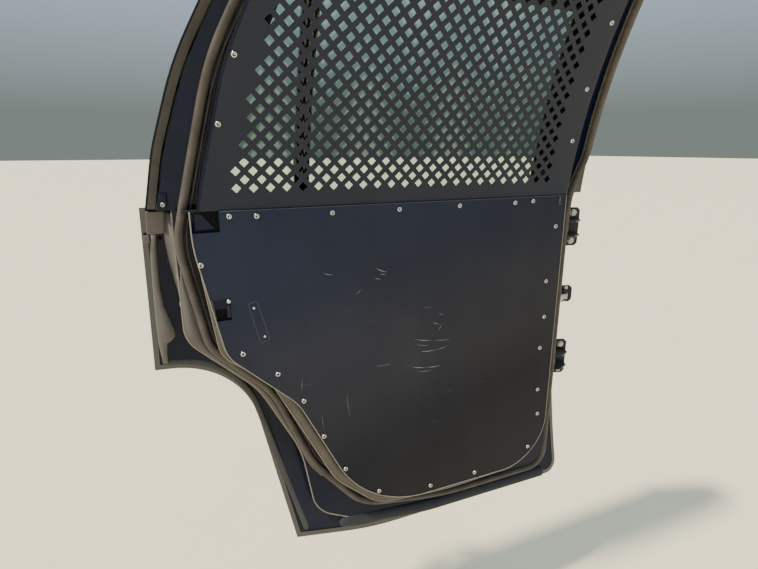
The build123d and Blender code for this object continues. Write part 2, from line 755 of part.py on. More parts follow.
# Trims: gloss cover on the front upright, and a cap at the belt's rear corner
cover_near = FRAME_OUT + PANEL_GAP
cover_span = block((LEADING_EDGE, BELT + COVER_RISE), (COVER_REAR, TOP))
pillar_cover = pressed(inset(frame_face, COVER_INSET) & cover_span, bowed(cover_near, cover_near + TRIM_T))
save(pillar_cover, "pillar_cover")
cap_span = block((CAP_FRONT, BELT + SEAL_CLEARANCE), (REAR_EDGE, BELT + CAP_H))
corner_cap = pressed(inset(frame_face, CAP_INSET) & cap_span, bowed(CAP_NEAR, SEAL_LEDGE - HEM_CLEARANCE))
save(corner_cap, "corner_cap")
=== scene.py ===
import json
import math

import bmesh
import bpy
from mathutils import Euler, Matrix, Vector


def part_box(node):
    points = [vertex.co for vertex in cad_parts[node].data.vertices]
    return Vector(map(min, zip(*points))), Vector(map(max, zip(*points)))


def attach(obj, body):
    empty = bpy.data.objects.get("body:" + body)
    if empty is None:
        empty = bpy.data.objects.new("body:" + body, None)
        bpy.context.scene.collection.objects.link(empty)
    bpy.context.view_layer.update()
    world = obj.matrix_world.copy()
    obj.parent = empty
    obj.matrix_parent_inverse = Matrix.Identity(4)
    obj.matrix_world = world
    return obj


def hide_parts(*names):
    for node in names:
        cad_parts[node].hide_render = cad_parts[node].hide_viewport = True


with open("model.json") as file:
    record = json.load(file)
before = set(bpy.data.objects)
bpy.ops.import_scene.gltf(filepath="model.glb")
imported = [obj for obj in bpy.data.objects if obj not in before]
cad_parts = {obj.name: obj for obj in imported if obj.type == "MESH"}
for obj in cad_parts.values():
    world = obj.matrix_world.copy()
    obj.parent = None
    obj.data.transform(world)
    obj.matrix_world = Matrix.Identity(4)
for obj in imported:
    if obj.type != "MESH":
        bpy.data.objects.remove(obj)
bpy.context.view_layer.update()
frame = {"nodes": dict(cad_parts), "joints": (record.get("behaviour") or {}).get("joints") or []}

nodes = frame["nodes"]

# Driving sizes, in millimetres. A depth is measured outboard of the lower panel's inner face.
MM = 0.001
PITCH = 31.75
SQUARE = 12.7
FIRST_HOLE = 890
FIRST_ROW = 545
ROWS = 25
COLUMNS = 24
BOW_R = 1248
BEND = 365
BELT = 505
GUARD_BOW = 11
GUARD_T = 2
GUARD_TAIL = 27
TAIL_DEPTH = 3.2
TAIL_FRONT = 95
TAIL_REAR = 924.8
SEAL_LEDGE = 51
SEAL_W = 17
SKIN_R = 2515
SKIN_WIDEST = 131
SKIN_WIDEST_HEIGHT = 260
SHELF_IN = 10.85
SHELF_STEP = 8
RING_DEPTH = 5.4
PANEL_T = 3
HAND_FRONT = 925
HAND_H = 40
NOTCH_FRONT = 917
NOTCH = (290, 334)
LEDGE_REAR = 1006
RIVET_R = 5.4
RIVET_H = 2.6
OPENING = 72
HINGE_SPACING = 400
PILLAR_FACE = -43
PILLAR_MIDDLE = 42
LEAF_BOLT = 40
CHECK_HEIGHT = 200
CHECK_BOLT = 18
FRONT_WALL = 30
DOOR_LEAF_FACE = 25
DOOR_LEAF_MIDDLE = 12
LATCH_SCREWS = ((62, 373), (62, 317), (88, 352))
CHECK_BOX_MIDDLE = 20
BOLT_HEAD = (7.5, 6)
BRACKET_BOLT_HEAD = (5, 4)
CHECK_BOX_BOLT_HEAD = (4.5, 3.5)
LATCH_SCREW_HEAD = (6, 2.5)
SEAL_HEIGHT = 13.4
SEAL_LIFT = 0.3
LIP_IN = 13.5
# Black dome of painted shade in each rivet's hollow: share of the rivet's radius, share of its height, and
# its offset
HOLE_SHADE_SHARE = 0.55
HOLE_SHADE_RISE = 0.9
HOLE_SHADE_SHIFT = (-0.9, 0, 0.8)
ROCKER_SIZE = (28, 12)
SHELF_DOT_HEAD = (3.8, 1.6)
CAP_SCREW_HEAD = (4.5, 2.0)
NOTCH_RIVET_HEAD = (4.2, 2.0)
OBLONG_RIVET_HEAD = (2.6, 1.2)
CLIP_RISE = 9.5
BELT_CORNER_RISE = 37
TAB_RISE = 1.6
NOTCH_TAB_RISE = 2.6
# Thickness of the black plates of painted shade in the hand hole and the notch
SHADE_PLATE_RISE = 0.3
HAND_LIP_RISE = 1.4

# Ridges: width and height, in millimetres
LIP_RIDGE = (4, 6.5)
LEDGE_RIDGE = (3.2, 1.2)
RING_RIDGE = (2.4, 0.9)
ARCH_RIDGE = (14, 1.5)
OUTLINE_RIDGE = (1.5, 0.5)
TOP_RIDGE = (1.8, 0.5)

# Dusty floor beside the seal: lowest and highest point, lengths of its tapers, and its foremost point
DUST_LOW = -150
DUST_HIGH = 400
DUST_LOW_TAPER = 180
DUST_HIGH_TAPER = 40
DUST_FRONT = 700

# Floor: its drop below the door in millimetres, and half its width in metres
FLOOR_DROP = 420
FLOOR_HALF = 72

# Camera, in metres and degrees, and light
CAMERA_PLACE = (1.07546, 1.09882, 0.61698)
CAMERA_TURN = (74.788, 0.056, 156.672)
CAMERA_LENS = 23.78
CAMERA_SENSOR = 36
SUN_FROM = (0.60, 0.10, 1.0)
SUN_ANGLE = 4
SUN_ENERGY = 5.0
SUN_COLOUR = (1.0, 0.93, 0.80)
SKY_LOW = (0.20, 0.24, 0.22, 1)
SKY_HIGH = (0.66, 0.82, 1.0, 1)

# The frame's own places: hinge axis, the lower panel's inner face and the corner cap's
hinge_x = frame["joints"][0]["pos_m"][0] / MM
face_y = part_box("lower_panel")[1].y / MM
cap_face = face_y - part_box("corner_cap")[1].y / MM

# Outlines seen from inboard: behind the hinge axis, above the lower hinge, corner radius
GUARD_CORNERS = (
    (90, BELT, 0),
    (86, 958, 40),
    (560, 966, 600),
    (820, 930, 50),
    (899, 757, 500),
    (947, 562, 500),
    (959, BELT, 0),
)
SEAL_CORNERS = (
    (45, -304, 55),
    (45, 500, 150),
    (14, 600, 150),
    (18, 962, 40),
    (560, 968, 700),
    (833, 932, 60),
    (923, 760, 500),
    (1002, 443, 200),
    (960, 220, 80),
    (838, 100, 200),
    (752, -110, 250),
    (629, -260, 140),
    (398, -304, 900),
)
PANEL_CORNERS = (
    (92, BELT, 0),
    (92, -246, 140),
    (631, -246, 258),
    (791, 79, 150),
    (931, 212, 80),
    (976, 440, 300),
    (976, BELT, 0),
)
LEDGE_CORNERS = (
    (LEDGE_REAR, BELT, 0),
    (LEDGE_REAR, 240, 70),
    (868, 108, 200),
    (778, -70, 300),
    (748, -250, 90),
    (620, -318, 160),
    (480, -319, 0),
)
RING_CORNERS = (
    (968, 462, 0),
    (968, 400, 400),
    (943, 213, 64),
    (850, 143, 70),
    (710, -140, 160),
    (601, -240, 120),
    (399, -258, 900),
    (200, -249, 0),
)
ARCH_CORNERS = (
    (1046, 172, 0),
    (900, 168, 190),
    (772, -300, 0),
)
ROCKER_CORNERS = (
    (690, -302, 0),
    (450, -329, 900),
    (36, -331, 0),
)

# Rear shelf's pressed rib: height, outer edge, inner edge
RIB = (
    (452, 1050, 1036),
    (418, 1052, 1039),
    (392, 1054, 1040),
    (340, 1056, 1041),
    (300, 1057, 1037),
    (271, 1058, 1029),
    (248, 1058, 1023),
    (232, 1058, 1022),
    (222, 1058, 1031),
    (217, 1058, 1040),
    (197, 1056, 1042),
    (174, 1054, 1043),
)
RIB_RISE = 8

# Plates seen from inboard: corners behind the hinge axis and above the lower hinge
RIB_HEAD = ((1052, 498), (1054, 452), (1013, 454), (1010, 498))
SHELF_CLIP = ((1050, 436), (1061, 436), (1061, 451), (1050, 451))
BELT_CORNER = ((958, 503), (990, 503), (990, 506), (958, 506))
# Black plates of painted shade in the hand hole and the notch
HAND_HOLE_SHADE = ((926, 466), (968.5, 466), (968.5, 504), (926, 504))
HAND_LIP = ((968, 470), (968, 500), (957, 500), (944, 484), (934, 472))
NOTCH_SHADE = ((918, 291), (948, 291), (951, 313), (918, 313))
NOTCH_TAB = ((918, 296), (924, 294), (925, 320), (918, 322))
CORNER_TAB = ((111, 500), (114, 500), (114, 483), (111, 483))
CORNER_FOOT = ((105, 484), (117, 484), (117, 481), (105, 481))
OBLONG = ((884, 319, 4), (866, 323, 4), (845, 237, 4), (864, 233, 4))

# Single fasteners and plugs: behind the hinge axis, above the lower hinge
OBLONG_RIVETS = ((873, 309), (855, 246))
NOTCH_RIVET = (920.5, 329)
SHELF_DOT = (1031, 444)
CAP_SCREW = (1019, 517)

# Height where the dust on the ring widens, and its inner edges above and below
DUST_PARTS = 284
DUST_REAR_IN = -9
DUST_ARCH_IN = -24

# Foot of the slope outside the seal: height, outer edge
SLOPE = ((497, 1022), (440, 1026), (398, 1022), (361, 1015), (330, 1009), (312, 1006.5))

# Scratches on the panel: start, end and width
SCRATCHES = (
    (465, 222, 444, 214, 0.9),
    (437, 213, 447, 198, 0.7),
    (512, 186, 462, 176, 1.0),
    (462, 176, 414, 171, 0.7),
    (506, 172, 470, 164, 0.6),
    (495, 152, 452, 150, 1.1),
    (452, 150, 419, 155, 0.7),
    (520, 118, 476, 108, 1.0),
    (476, 108, 438, 107, 1.2),
    (500, 102, 462, 98, 0.6),
    (452, 243, 433, 236, 0.7),
    (730, 367, 704, 360, 0.7),
    (610, 366, 580, 354, 1.1),
    (600, 352, 583, 350, 0.8),
    (612, 344, 596, 340, 0.8),
    (655, 312, 642, 322, 0.6),
    (781, 141, 783, 104, 0.4),
    (680, 85, 673, 18, 0.35),
    (739, 43, 737, 2, 0.35),
)

# Rivet centres: behind the hinge axis, above the lower hinge
PANEL_RIVETS = (
    (901, 215), (833, 158), (780, 84), (737, -14), (687, -113), (601, -200),
    (456, -228), (321, -227), (146, -193), (122, -95), (129, -20), (134, 103),
    (129, 190), (133, 287), (118, 428), (195, 494), (248, 492), (402, 492),
    (553, 491), (704, 491), (856, 492), (907, 494), (965, 405),
)
GUARD_RIVETS = (
    (885, 767), (916, 658), (105, 873), (108, 746),
    (108, 634), (300, 946), (520, 948), (720, 934),
)

# Extent of the hole field: lowest row, highest row, first and last step of a pitch from the rear
FIELD = (
    (0, 3, 0.0, 23.0),
    (4, 5, 0.5, 23.0),
    (6, 10, 1.0, 23.0),
    (11, 13, 1.5, 23.0),
    (14, 18, 2.0, 23.0),
    (19, 20, 2.5, 23.0),
    (21, 22, 3.0, 23.0),
    (23, 23, 6.0, 23.0),
    (24, 24, 9.5, 23.0),
)


def spot(x, depth, z):
    """Point in the row frame, in metres."""
    return Vector((hinge_x + x, face_y - depth, z)) * MM


def bowed_depth(depth, z):
    """Depth of a bowed layer at a height: upright below the bend."""
    if z <= BEND:
        return depth
    return math.sqrt((BOW_R + depth) ** 2 - (z - BEND) ** 2) - BOW_R


def on_ledge(rise, z):
    """Depth above the bowed seal ledge."""
    return bowed_depth(SEAL_LEDGE - rise, z)


def on_shelf(rise, z):
    """Depth above the shelf that follows the outer skin."""
    bow = math.sqrt(SKIN_R ** 2 - (z - SKIN_WIDEST_HEIGHT) ** 2)
    return SKIN_WIDEST - SKIN_R + bow - SHELF_IN - rise


def on_ring(rise, z):
    """Depth above the flat ring behind the panel."""
    return RING_DEPTH - rise


def on_panel(rise, z):
    """Depth above the lower panel's inner face."""
    return -rise


guard_r = BOW_R + GUARD_BOW
first_turn = math.asin((FIRST_ROW - BEND) / guard_r)


def arc_at(height):
    """Arc length along the guard, above its first row of holes."""
    return guard_r * (math.asin((height - BEND) / guard_r) - first_turn)


def on_guard(x, arc, radius):
    """Point on the bowed guard."""
    turn = first_turn + arc / guard_r
    return spot(x, radius * math.cos(turn) - BOW_R, BEND + radius * math.sin(turn))


# Camera at the photograph's viewing angle
camera_data = bpy.data.cameras.new("camera")
camera_data.lens = CAMERA_LENS
camera_data.sensor_width = CAMERA_SENSOR
camera_data.clip_start = 0.01
camera_data.clip_end = 300
camera = bpy.data.objects.new("camera", camera_data)
camera.location = CAMERA_PLACE
camera.rotation_euler = Euler([math.radians(turn) for turn in CAMERA_TURN])
bpy.context.scene.collection.objects.link(camera)
bpy.context.scene.camera = camera

# Colours of dust, of the painted sky reflection on the flat panel's upper rear, and of its fine marks
DUST = (0.18, 0.16, 0.14)
PANEL_SKY_REFLECTION = (0.013, 0.019, 0.044)
FINE_MARKS = (0.34, 0.33, 0.31)


class Shader:
    """A material and short ways to add its nodes."""

    def __init__(self, name):
        self.material = bpy.data.materials.new(name)
        self.material.use_nodes = True
        self.tree = self.material.node_tree
        self.bsdf = self.tree.nodes["Principled BSDF"]
        self.place = self.add("ShaderNodeTexCoord").outputs["Object"]

    def add(self, kind, **settings):
        node = self.tree.nodes.new(kind)
        for key, value in settings.items():
            setattr(node, key, value)
        return node

    def link(self, source, target):
        self.tree.links.new(source, target)

    def noise(self, scale, detail=4, roughness=0.55, stretch=None):
        texture = self.add("ShaderNodeTexNoise")
        texture.inputs["Scale"].default_value = scale
        texture.inputs["Detail"].default_value = detail
        texture.inputs["Roughness"].default_value = roughness
        source = self.place
        if stretch:
            mapping = self.add("ShaderNodeMapping")
            mapping.inputs["Scale"].default_value = stretch
            self.link(source, mapping.inputs["Vector"])
            source = mapping.outputs["Vector"]
        self.link(source, texture.inputs["Vector"])
        return texture.outputs["Fac"]

    def ramp(self, source, stops):
        """Grey or colour ramp through (place, value) stops."""
        node = self.add("ShaderNodeValToRGB")
        elements = node.color_ramp.elements
        while len(elements) < len(stops):
            elements.new(0.5)
        for element, (place, value) in zip(elements, stops):
            element.position = place
            element.color = (*value, 1) if isinstance(value, tuple) else (value, value, value, 1)
        self.link(source, node.inputs["Fac"])
        return node.outputs["Color"]

    def mix(self, amount, first, second):
        node = self.add("ShaderNodeMix", data_type="RGBA")
        self.link(amount, node.inputs[0])
        for value, socket in ((first, node.inputs[6]), (second, node.inputs[7])):
            if isinstance(value, tuple):
                socket.default_value = (*value, 1)
            else:
                self.link(value, socket)
        return node.outputs[2]

    def math(self, operation, first, second):
        node = self.add("ShaderNodeMath", operation=operation)
        for value, socket in zip((first, second), node.inputs):
            if isinstance(value, (int, float)):
                socket.default_value = value
            else:
                self.link(value, socket)
        return node.outputs["Value"]

    def up(self):
        """How far the surface faces up, from 0 to 1."""
        geometry = self.add("ShaderNodeNewGeometry")
        split = self.add("ShaderNodeSeparateXYZ")
        self.link(geometry.outputs["Normal"], split.inputs["Vector"])
        return self.math("MAXIMUM", split.outputs["Z"], 0.0)

    def bump(self, height, strength, distance):
        node = self.add("ShaderNodeBump")
        node.inputs["Strength"].default_value = strength
        node.inputs["Distance"].default_value = distance
        self.link(height, node.inputs["Height"])
        self.link(node.outputs["Normal"], self.bsdf.inputs["Normal"])

    def set(self, **values):
        for key, value in values.items():
            self.bsdf.inputs[key.replace("_", " ")].default_value = value


def painted(name, colour, gloss, dust, coat, shine=0.14):
    """Gloss paint with dust that lies thicker on what faces up."""
    paint = Shader(name)
    cloud = paint.ramp(paint.noise(9, 6), ((0.35, 0.0), (0.7, 1.0)))
    speck = paint.noise(420, 3)
    settled = paint.math("MULTIPLY", paint.up(), 0.22)
    film = paint.math("ADD", paint.math("MULTIPLY", cloud, dust), settled)
    film = paint.math("MULTIPLY", film, paint.ramp(speck, ((0.25, 0.5), (0.75, 1.0))))
    paint.link(paint.mix(film, colour, DUST), paint.bsdf.inputs["Base Color"])
    paint.link(paint.ramp(film, ((0.0, gloss), (0.6, 0.62))), paint.bsdf.inputs["Roughness"])
    paint.bump(paint.noise(55, 2), 0.04, 0.0006)
    paint.set(Coat_Weight=coat, Coat_Roughness=0.06, Specular_IOR_Level=shine)
    return paint.material


def powder(name, colour, scratches_and_reflection):
    """Satin powder coat with orange peel and faint wiped dust, and on the flat panel fine marks and a
    painted reflection: a soft diagonal light band and a tone that grows lighter and bluer towards the upper
    rear.
    """
    coat = Shader(name)
    peel = coat.noise(900, 2, 0.5)
    cloud = coat.noise(6, 5)
    wipe = coat.noise(14, 4, 0.6, stretch=(1, 1, 0.12))
    film = coat.math("MULTIPLY", coat.math("MULTIPLY", cloud, wipe), 0.10)
    if scratches_and_reflection:
        split = coat.add("ShaderNodeSeparateXYZ")
        coat.link(coat.place, split.inputs["Vector"])
        slanted = coat.math("ADD", split.outputs["Z"], coat.math("MULTIPLY", split.outputs["X"], 0.22))
        # Painted reflection: a soft diagonal light band across the panel, added to the dust film and mixed
        # towards the dust colour.
        painted_reflection_band = coat.ramp(slanted, ((0.10, 0.0), (0.24, 1.0), (0.38, 0.8), (0.50, 0.0)))
        painted_reflection_band = coat.math("MULTIPLY", painted_reflection_band, coat.math("ADD", cloud, 0.25))
        film = coat.math("ADD", film, coat.math("MULTIPLY", painted_reflection_band, 0.09))
        # Painted reflection: the base colour grows lighter and bluer towards the upper rear.
        along = coat.math("ADD", split.outputs["Z"], coat.math("MULTIPLY", split.outputs["X"], 0.5))
        colour = coat.ramp(along, ((0.15, colour), (0.85, PANEL_SKY_REFLECTION)))
    tone = coat.mix(film, colour, DUST)
    if scratches_and_reflection:
        fine = coat.noise(7, 2, 0.5, stretch=(1.0, 1, 30))
        marks = coat.ramp(fine, ((0.735, 0.0), (0.75, 0.5)))
        patch = coat.ramp(coat.noise(3.1, 1), ((0.5, 0.0), (0.62, 1.0)))
        tone = coat.mix(coat.math("MULTIPLY", marks, patch), tone, FINE_MARKS)
    coat.link(tone, coat.bsdf.inputs["Base Color"])
    gloss = coat.ramp(coat.math("ADD", cloud, film), ((0.3, 0.36), (0.8, 0.48)))
    coat.link(gloss, coat.bsdf.inputs["Roughness"])
    coat.bump(peel, 0.10, 0.0004)
    coat.set(Specular_IOR_Level=0.14 if scratches_and_reflection else 0.2)
    return coat.material


def rubbery(name, colour, dusty, gloss=0.62):
    """Rubber or grained plastic with patchy dust."""
    rubber = Shader(name)
    cloud = rubber.noise(24, 5)
    film = rubber.math("MULTIPLY", rubber.ramp(cloud, ((0.3, 0.45), (0.7, 1.0))), dusty)
    rubber.link(rubber.mix(film, colour, DUST), rubber.bsdf.inputs["Base Color"])
    rubber.link(rubber.ramp(cloud, ((0.2, gloss), (0.8, gloss + 0.25))), rubber.bsdf.inputs["Roughness"])
    rubber.bump(rubber.noise(700, 3), 0.2, 0.0003)
    rubber.set(Specular_IOR_Level=0.2)
    return rubber.material


def metallic(name, colour, rough):
    """Bare or plated metal, clouded."""
    metal = Shader(name)
    cloud = metal.noise(60, 4)
    dull = tuple(0.72 * part for part in colour)
    metal.link(metal.mix(cloud, colour, dull), metal.bsdf.inputs["Base Color"])
    metal.link(metal.ramp(cloud, ((0.2, rough), (0.8, rough + 0.18))), metal.bsdf.inputs["Roughness"])
    metal.bump(metal.noise(500, 2), 0.06, 0.0002)
    metal.set(Metallic=1.0)
    return metal.material


def tinted_glass(name):
    """Clear glass with a light green tint and a film of dust."""
    glass = Shader(name)
    film = glass.ramp(glass.noise(11, 5), ((0.35, 0.01), (0.8, 0.05)))
    glass.link(film, glass.bsdf.inputs["Roughness"])
    tint = glass.mix(glass.noise(5, 3), (0.52, 0.66, 0.58), (0.46, 0.60, 0.53))
    glass.link(tint, glass.bsdf.inputs["Base Color"])
    glass.set(Transmission_Weight=1.0, IOR=1.5)
    return glass.material


# Materials: colour, then gloss and dust
body_paint = painted("body_paint", (0.003, 0.007, 0.024), 0.10, 0.03, 0.0)
outer_paint = painted("outer_paint", (0.003, 0.006, 0.018), 0.07, 0.03, 0.8, 0.5)
dusty_paint = painted("dusty_paint", (0.12, 0.11, 0.105), 0.45, 0.55, 0.0)
# Lighter copy of the body paint for the arch's ridge: a painted highlight, with some dust.
arch_highlight_paint = painted("arch_highlight_paint", (0.030, 0.033, 0.038), 0.30, 0.16, 0.0, 0.3)
powder_plain = powder("powder_plain", (0.011, 0.015, 0.032), False)
powder_scratches_and_reflection = powder("powder_scratches_and_reflection", (0.003, 0.004, 0.012), True)
gloss_trim = painted("gloss_trim", (0.006, 0.006, 0.007), 0.08, 0.10, 0.8)
dusty_rubber = rubbery("dusty_rubber", (0.030, 0.027, 0.026), 0.55)
dark_rubber = rubbery("dark_rubber", (0.012, 0.011, 0.011), 0.16)
strip_rubber = rubbery("strip_rubber", (0.012, 0.016, 0.028), 0.16, 0.5)
# Light dusty colour for the rims and the panel's bead: dust and a painted highlight.
dust_and_highlight_ridge = rubbery("dust_and_highlight_ridge", (0.25, 0.225, 0.19), 0.4, 0.5)
ring_dirt = rubbery("ring_dirt", (0.055, 0.050, 0.038), 0.5, 0.55)
# Near-black for the plug on the shelf, and for painted shade in the rivets' hollows, the hand hole and the
# notch.
black_and_painted_shade = rubbery("black_and_painted_shade", (0.0015, 0.0015, 0.002), 0.01, 0.8)
# Lighter, bluer copy of the powder coat: a painted highlight on edges, raised outlines and the bracket's
# foot.
powder_highlight = powder("powder_highlight", (0.045, 0.055, 0.080), False)
scratch_white = rubbery("scratch_white", (0.42, 0.41, 0.39), 0.2, 0.5)
rivet_metal = metallic("rivet_metal", (0.80, 0.79, 0.76), 0.22)
zinc_metal = metallic("zinc_metal", (0.46, 0.46, 0.47), 0.36)
hinge_paint = painted("hinge_paint", (0.010, 0.011, 0.013), 0.34, 0.20, 0.1)
glass_material = tinted_glass("glass_tint")

# Finish of each carried-over node: material, and edge rounding in millimetres
FINISH = {
    "outer_skin": (outer_paint, 0),
    "inner_panel": (body_paint, 0),
    "window_frame": (body_paint, 0.8),
    "lower_panel": (powder_scratches_and_reflection, 0.5),
    "belt_ledge": (body_paint, 0),
    "division_bar": (gloss_trim, 1),
    "pillar_cover": (gloss_trim, 0.8),
    "corner_cap": (body_paint, 0.8),
    "door_glass": (glass_material, 0),
    "quarter_glass": (glass_material, 0),
    "glass_run": (dark_rubber, 0.8),
    "outer_belt_seal": (dark_rubber, 0.8),
    "inner_belt_seal": (dark_rubber, 1),
    "handle_gaskets": (dark_rubber, 0),
    "outer_handle": (gloss_trim, 1),
    "latch": (zinc_metal, 0.6),
    "check_box": (zinc_metal, 0.6),
    "check_arm": (zinc_metal, 0.6),
    "hinge_pin_lower": (zinc_metal, 0.4),
    "hinge_pin_upper": (zinc_metal, 0.4),
    "pillar_leaf_lower": (hinge_paint, 0.6),
    "pillar_leaf_upper": (hinge_paint, 0.6),
    "door_leaf_lower": (hinge_paint, 0.6),
    "door_leaf_upper": (hinge_paint, 0.6),
    "check_bracket": (hinge_paint, 0.6),
    "weatherstrip": (dusty_rubber, 0),
    "secondary_seal": (dusty_rubber, 0),
    "window_guard": (powder_plain, 0),
}


def soften(piece, width):
    """Rounds sharp edges by a width in millimetres."""
    weld = piece.modifiers.new("weld", "WELD")
    weld.merge_threshold = 0.00001
    bevel = piece.modifiers.new("bevel", "BEVEL")
    bevel.width = width * MM
    bevel.segments = 2
    bevel.limit_method = "ANGLE"
    bevel.angle_limit = math.radians(40)
    bevel.harden_normals = True


for name, (material, rounding) in FINISH.items():
    nodes[name].data.materials.clear()
    nodes[name].data.materials.append(material)
    if rounding:
        soften(nodes[name], rounding)


def add_piece(name, vertices, faces, material, smooth=False):
    """New closed mesh on the door, its faces turned outward."""
    mesh = bpy.data.meshes.new(name)
    work = bmesh.new()
    corners = [work.verts.new(v) for v in vertices]
    for face in faces:
        work.faces.new([corners[index] for index in face])
    bmesh.ops.remove_doubles(work, verts=work.verts, dist=0.000005)
    bmesh.ops.recalc_face_normals(work, faces=work.faces)
    for face in work.faces:
        face.smooth = smooth
    work.to_mesh(mesh)
    work.free()
    mesh.materials.append(material)
    piece = bpy.data.objects.new(name, mesh)
    bpy.context.scene.collection.objects.link(piece)
    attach(piece, "door")
    return piece


def rounded_path(corners, closed, step):
    """Points along a line with rounded corners, about a step apart."""
    count = len(corners)
    points = []
    for index, (x, z, radius) in enumerate(corners):
        here = Vector((x, z))
        if not radius:
            points.append(here)
            continue
        before = Vector(corners[index - 1][:2])
        after = Vector(corners[(index + 1) % count][:2])
        into = (here - before).normalized()
        out = (after - here).normalized()
        turn = math.atan2(into.x * out.y - into.y * out.x, into.dot(out))
        reach = radius * math.tan(abs(turn) / 2)
        side = math.copysign(1, turn)
        centre = here - into * reach + Vector((-into.y, into.x)) * side * radius
        start = here - into * reach - centre
        pieces = max(2, round(radius * abs(turn) / step))
        for part in range(pieces + 1):
            angle = turn * part / pieces
            points.append(centre + Vector((
                start.x * math.cos(angle) - start.y * math.sin(angle),
                start.x * math.sin(angle) + start.y * math.cos(angle),
            )))
    if closed:
        points.append(points[0])
    dense = [points[0]]
    for first, second in zip(points, points[1:]):
        parts = max(1, round((second - first).length / step))
        dense += [first.lerp(second, part / parts) for part in range(1, parts + 1)]
    return dense[:-1] if closed else dense


def loft(name, rings, closed, material):
    """Skin over a row of rings with equally many points."""
    ring = len(rings[0])
    count = len(rings)
    vertices = [point for points in rings for point in points]
    faces = []
    for index in range(count if closed else count - 1):
        here = index * ring
        after = (index + 1) % count * ring
        for corner in range(ring):
            beside = (corner + 1) % ring
            faces.append((here + corner, here + beside, after + beside, after + corner))
    if not closed:
        faces.append(tuple(range(ring)))
        faces.append(tuple(range((count - 1) * ring, count * ring)))
    return add_piece(name, vertices, faces, material, smooth=True)


def strip(name, path, closed, section, depth_at, material, blunt=0):
    """Strip along a path on the side view, from a section of (across, rise) pairs. Blunt rounds its ends."""
    rings = []
    count = len(path)
    travelled = [0]
    for first, second in zip(path, path[1:]):
        travelled.append(travelled[-1] + (second - first).length)
    for index, point in enumerate(path):
        before = path[index - 1] if closed or index else point
        after = path[(index + 1) % count] if closed or index < count - 1 else point
        along = (after - before).normalized()
        across = Vector((-along.y, along.x))
        share = 1
        from_end = min(travelled[index], travelled[-1] - travelled[index])
        if blunt and from_end < blunt:
            share = math.sqrt(max(0.04, 1 - (1 - from_end / blunt) ** 2))
        ring = []
        for offset, rise in section:
            place = point + across * offset * share
            ring.append(spot(place.x, depth_at(rise * share, place.y), place.y))
        rings.append(ring)
    return loft(name, rings, closed, material)


def half_round(width, height, parts=10):
    """Section of a bulb on a flat base, from one foot over the top to the other."""
    points = [(width / 2, 0)]
    for part in range(parts + 1):
        angle = math.pi * part / parts
        bulge = math.sin(angle) ** 0.8
        points.append((width / 2 * math.cos(angle), 0.18 * height + 0.82 * height * bulge))
    points.append((-width / 2, 0))
    return points


def clipped(polygon, outline):
    """Part of a polygon inside a convex outline that runs anticlockwise."""
    for (ax, ay), (bx, by) in zip(outline, outline[1:] + outline[:1]):
        kept = []
        for (px, py), (qx, qy) in zip(polygon, polygon[1:] + polygon[:1]):
            here = (bx - ax) * (py - ay) - (by - ay) * (px - ax)
            there = (bx - ax) * (qy - ay) - (by - ay) * (qx - ax)
            if here >= 0:
                kept.append((px, py))
            if here * there < 0:
                share = here / (here - there)
                kept.append((px + (qx - px) * share, py + (qy - py) * share))
        polygon = kept
        if len(polygon) < 3:
            return []
    return polygon


def has_hole(row, step):
    """Whether the lattice has a hole at a row and a number of pitches from the rear."""
    return any(low <= row <= high and first <= step <= last for low, high, first, last in FIELD)


def lattice_cells(outline):
    """Flat polygons of the sheet: four sides round each square hole, and whole cells cut to the outline."""
    half = SQUARE / math.sqrt(2)
    quarter = PITCH / 2
    cells = []
    for row in range(-4, ROWS + 4):
        for column in range(-4, COLUMNS + 4):
            step = column + (row % 2) / 2
            x = FIRST_HOLE - step * PITCH
            y = row * quarter
            outer = [(x + quarter, y), (x, y + quarter), (x - quarter, y), (x, y - quarter)]
            if has_hole(row, step):
                hole = [(x + half, y), (x, y + half), (x - half, y), (x, y - half)]
                for side in range(4):
                    after = (side + 1) % 4
                    cells.append([outer[side], outer[after], hole[after], hole[side]])
            else:
                cells.append(clipped(outer, outline))
    return [cell for cell in cells if cell]


def make_guard():
    """Bowed sheet with staggered square holes on their corners, and its tail behind the lower panel."""
    outline = [(point.x, arc_at(point.y)) for point in rounded_path(GUARD_CORNERS, False, 15)]
    outline.reverse()
    work = bmesh.new()
    for cell in lattice_cells(outline):
        work.faces.new([work.verts.new((x, arc, 0)) for x, arc in cell])
    bmesh.ops.remove_doubles(work, verts=work.verts, dist=0.01)
    bmesh.ops.dissolve_degenerate(work, edges=work.edges, dist=0.01)
    work.verts.index_update()
    flat = [vertex.co.copy() for vertex in work.verts]
    count = len(flat)
    faces = []
    for face in work.faces:
        indices = [vertex.index for vertex in face.verts]
        faces.append(indices)
        faces.append([index + count for index in reversed(indices)])
    for edge in work.edges:
        if len(edge.link_faces) == 1:
            first, second = (vertex.index for vertex in edge.verts)
            faces.append([first, second, second + count, first + count])
    work.free()
    vertices = [on_guard(place.x, place.y, guard_r) for place in flat]
    vertices += [on_guard(place.x, place.y, guard_r + GUARD_T) for place in flat]
    start = len(vertices)
    near, far = TAIL_DEPTH, TAIL_DEPTH + GUARD_T
    for z in (BELT - GUARD_TAIL, BELT):
        for x, depth in ((TAIL_FRONT, near), (TAIL_REAR, near), (TAIL_REAR, far), (TAIL_FRONT, far)):
            vertices.append(spot(x, depth, z))
    for side in range(4):
        after = (side + 1) % 4
        faces.append([start + side, start + after, start + 4 + after, start + 4 + side])
    faces.append([start, start + 1, start + 2, start + 3])
    faces.append([start + 4, start + 5, start + 6, start + 7])
    return add_piece("guard_sheet", vertices, faces, powder_plain)


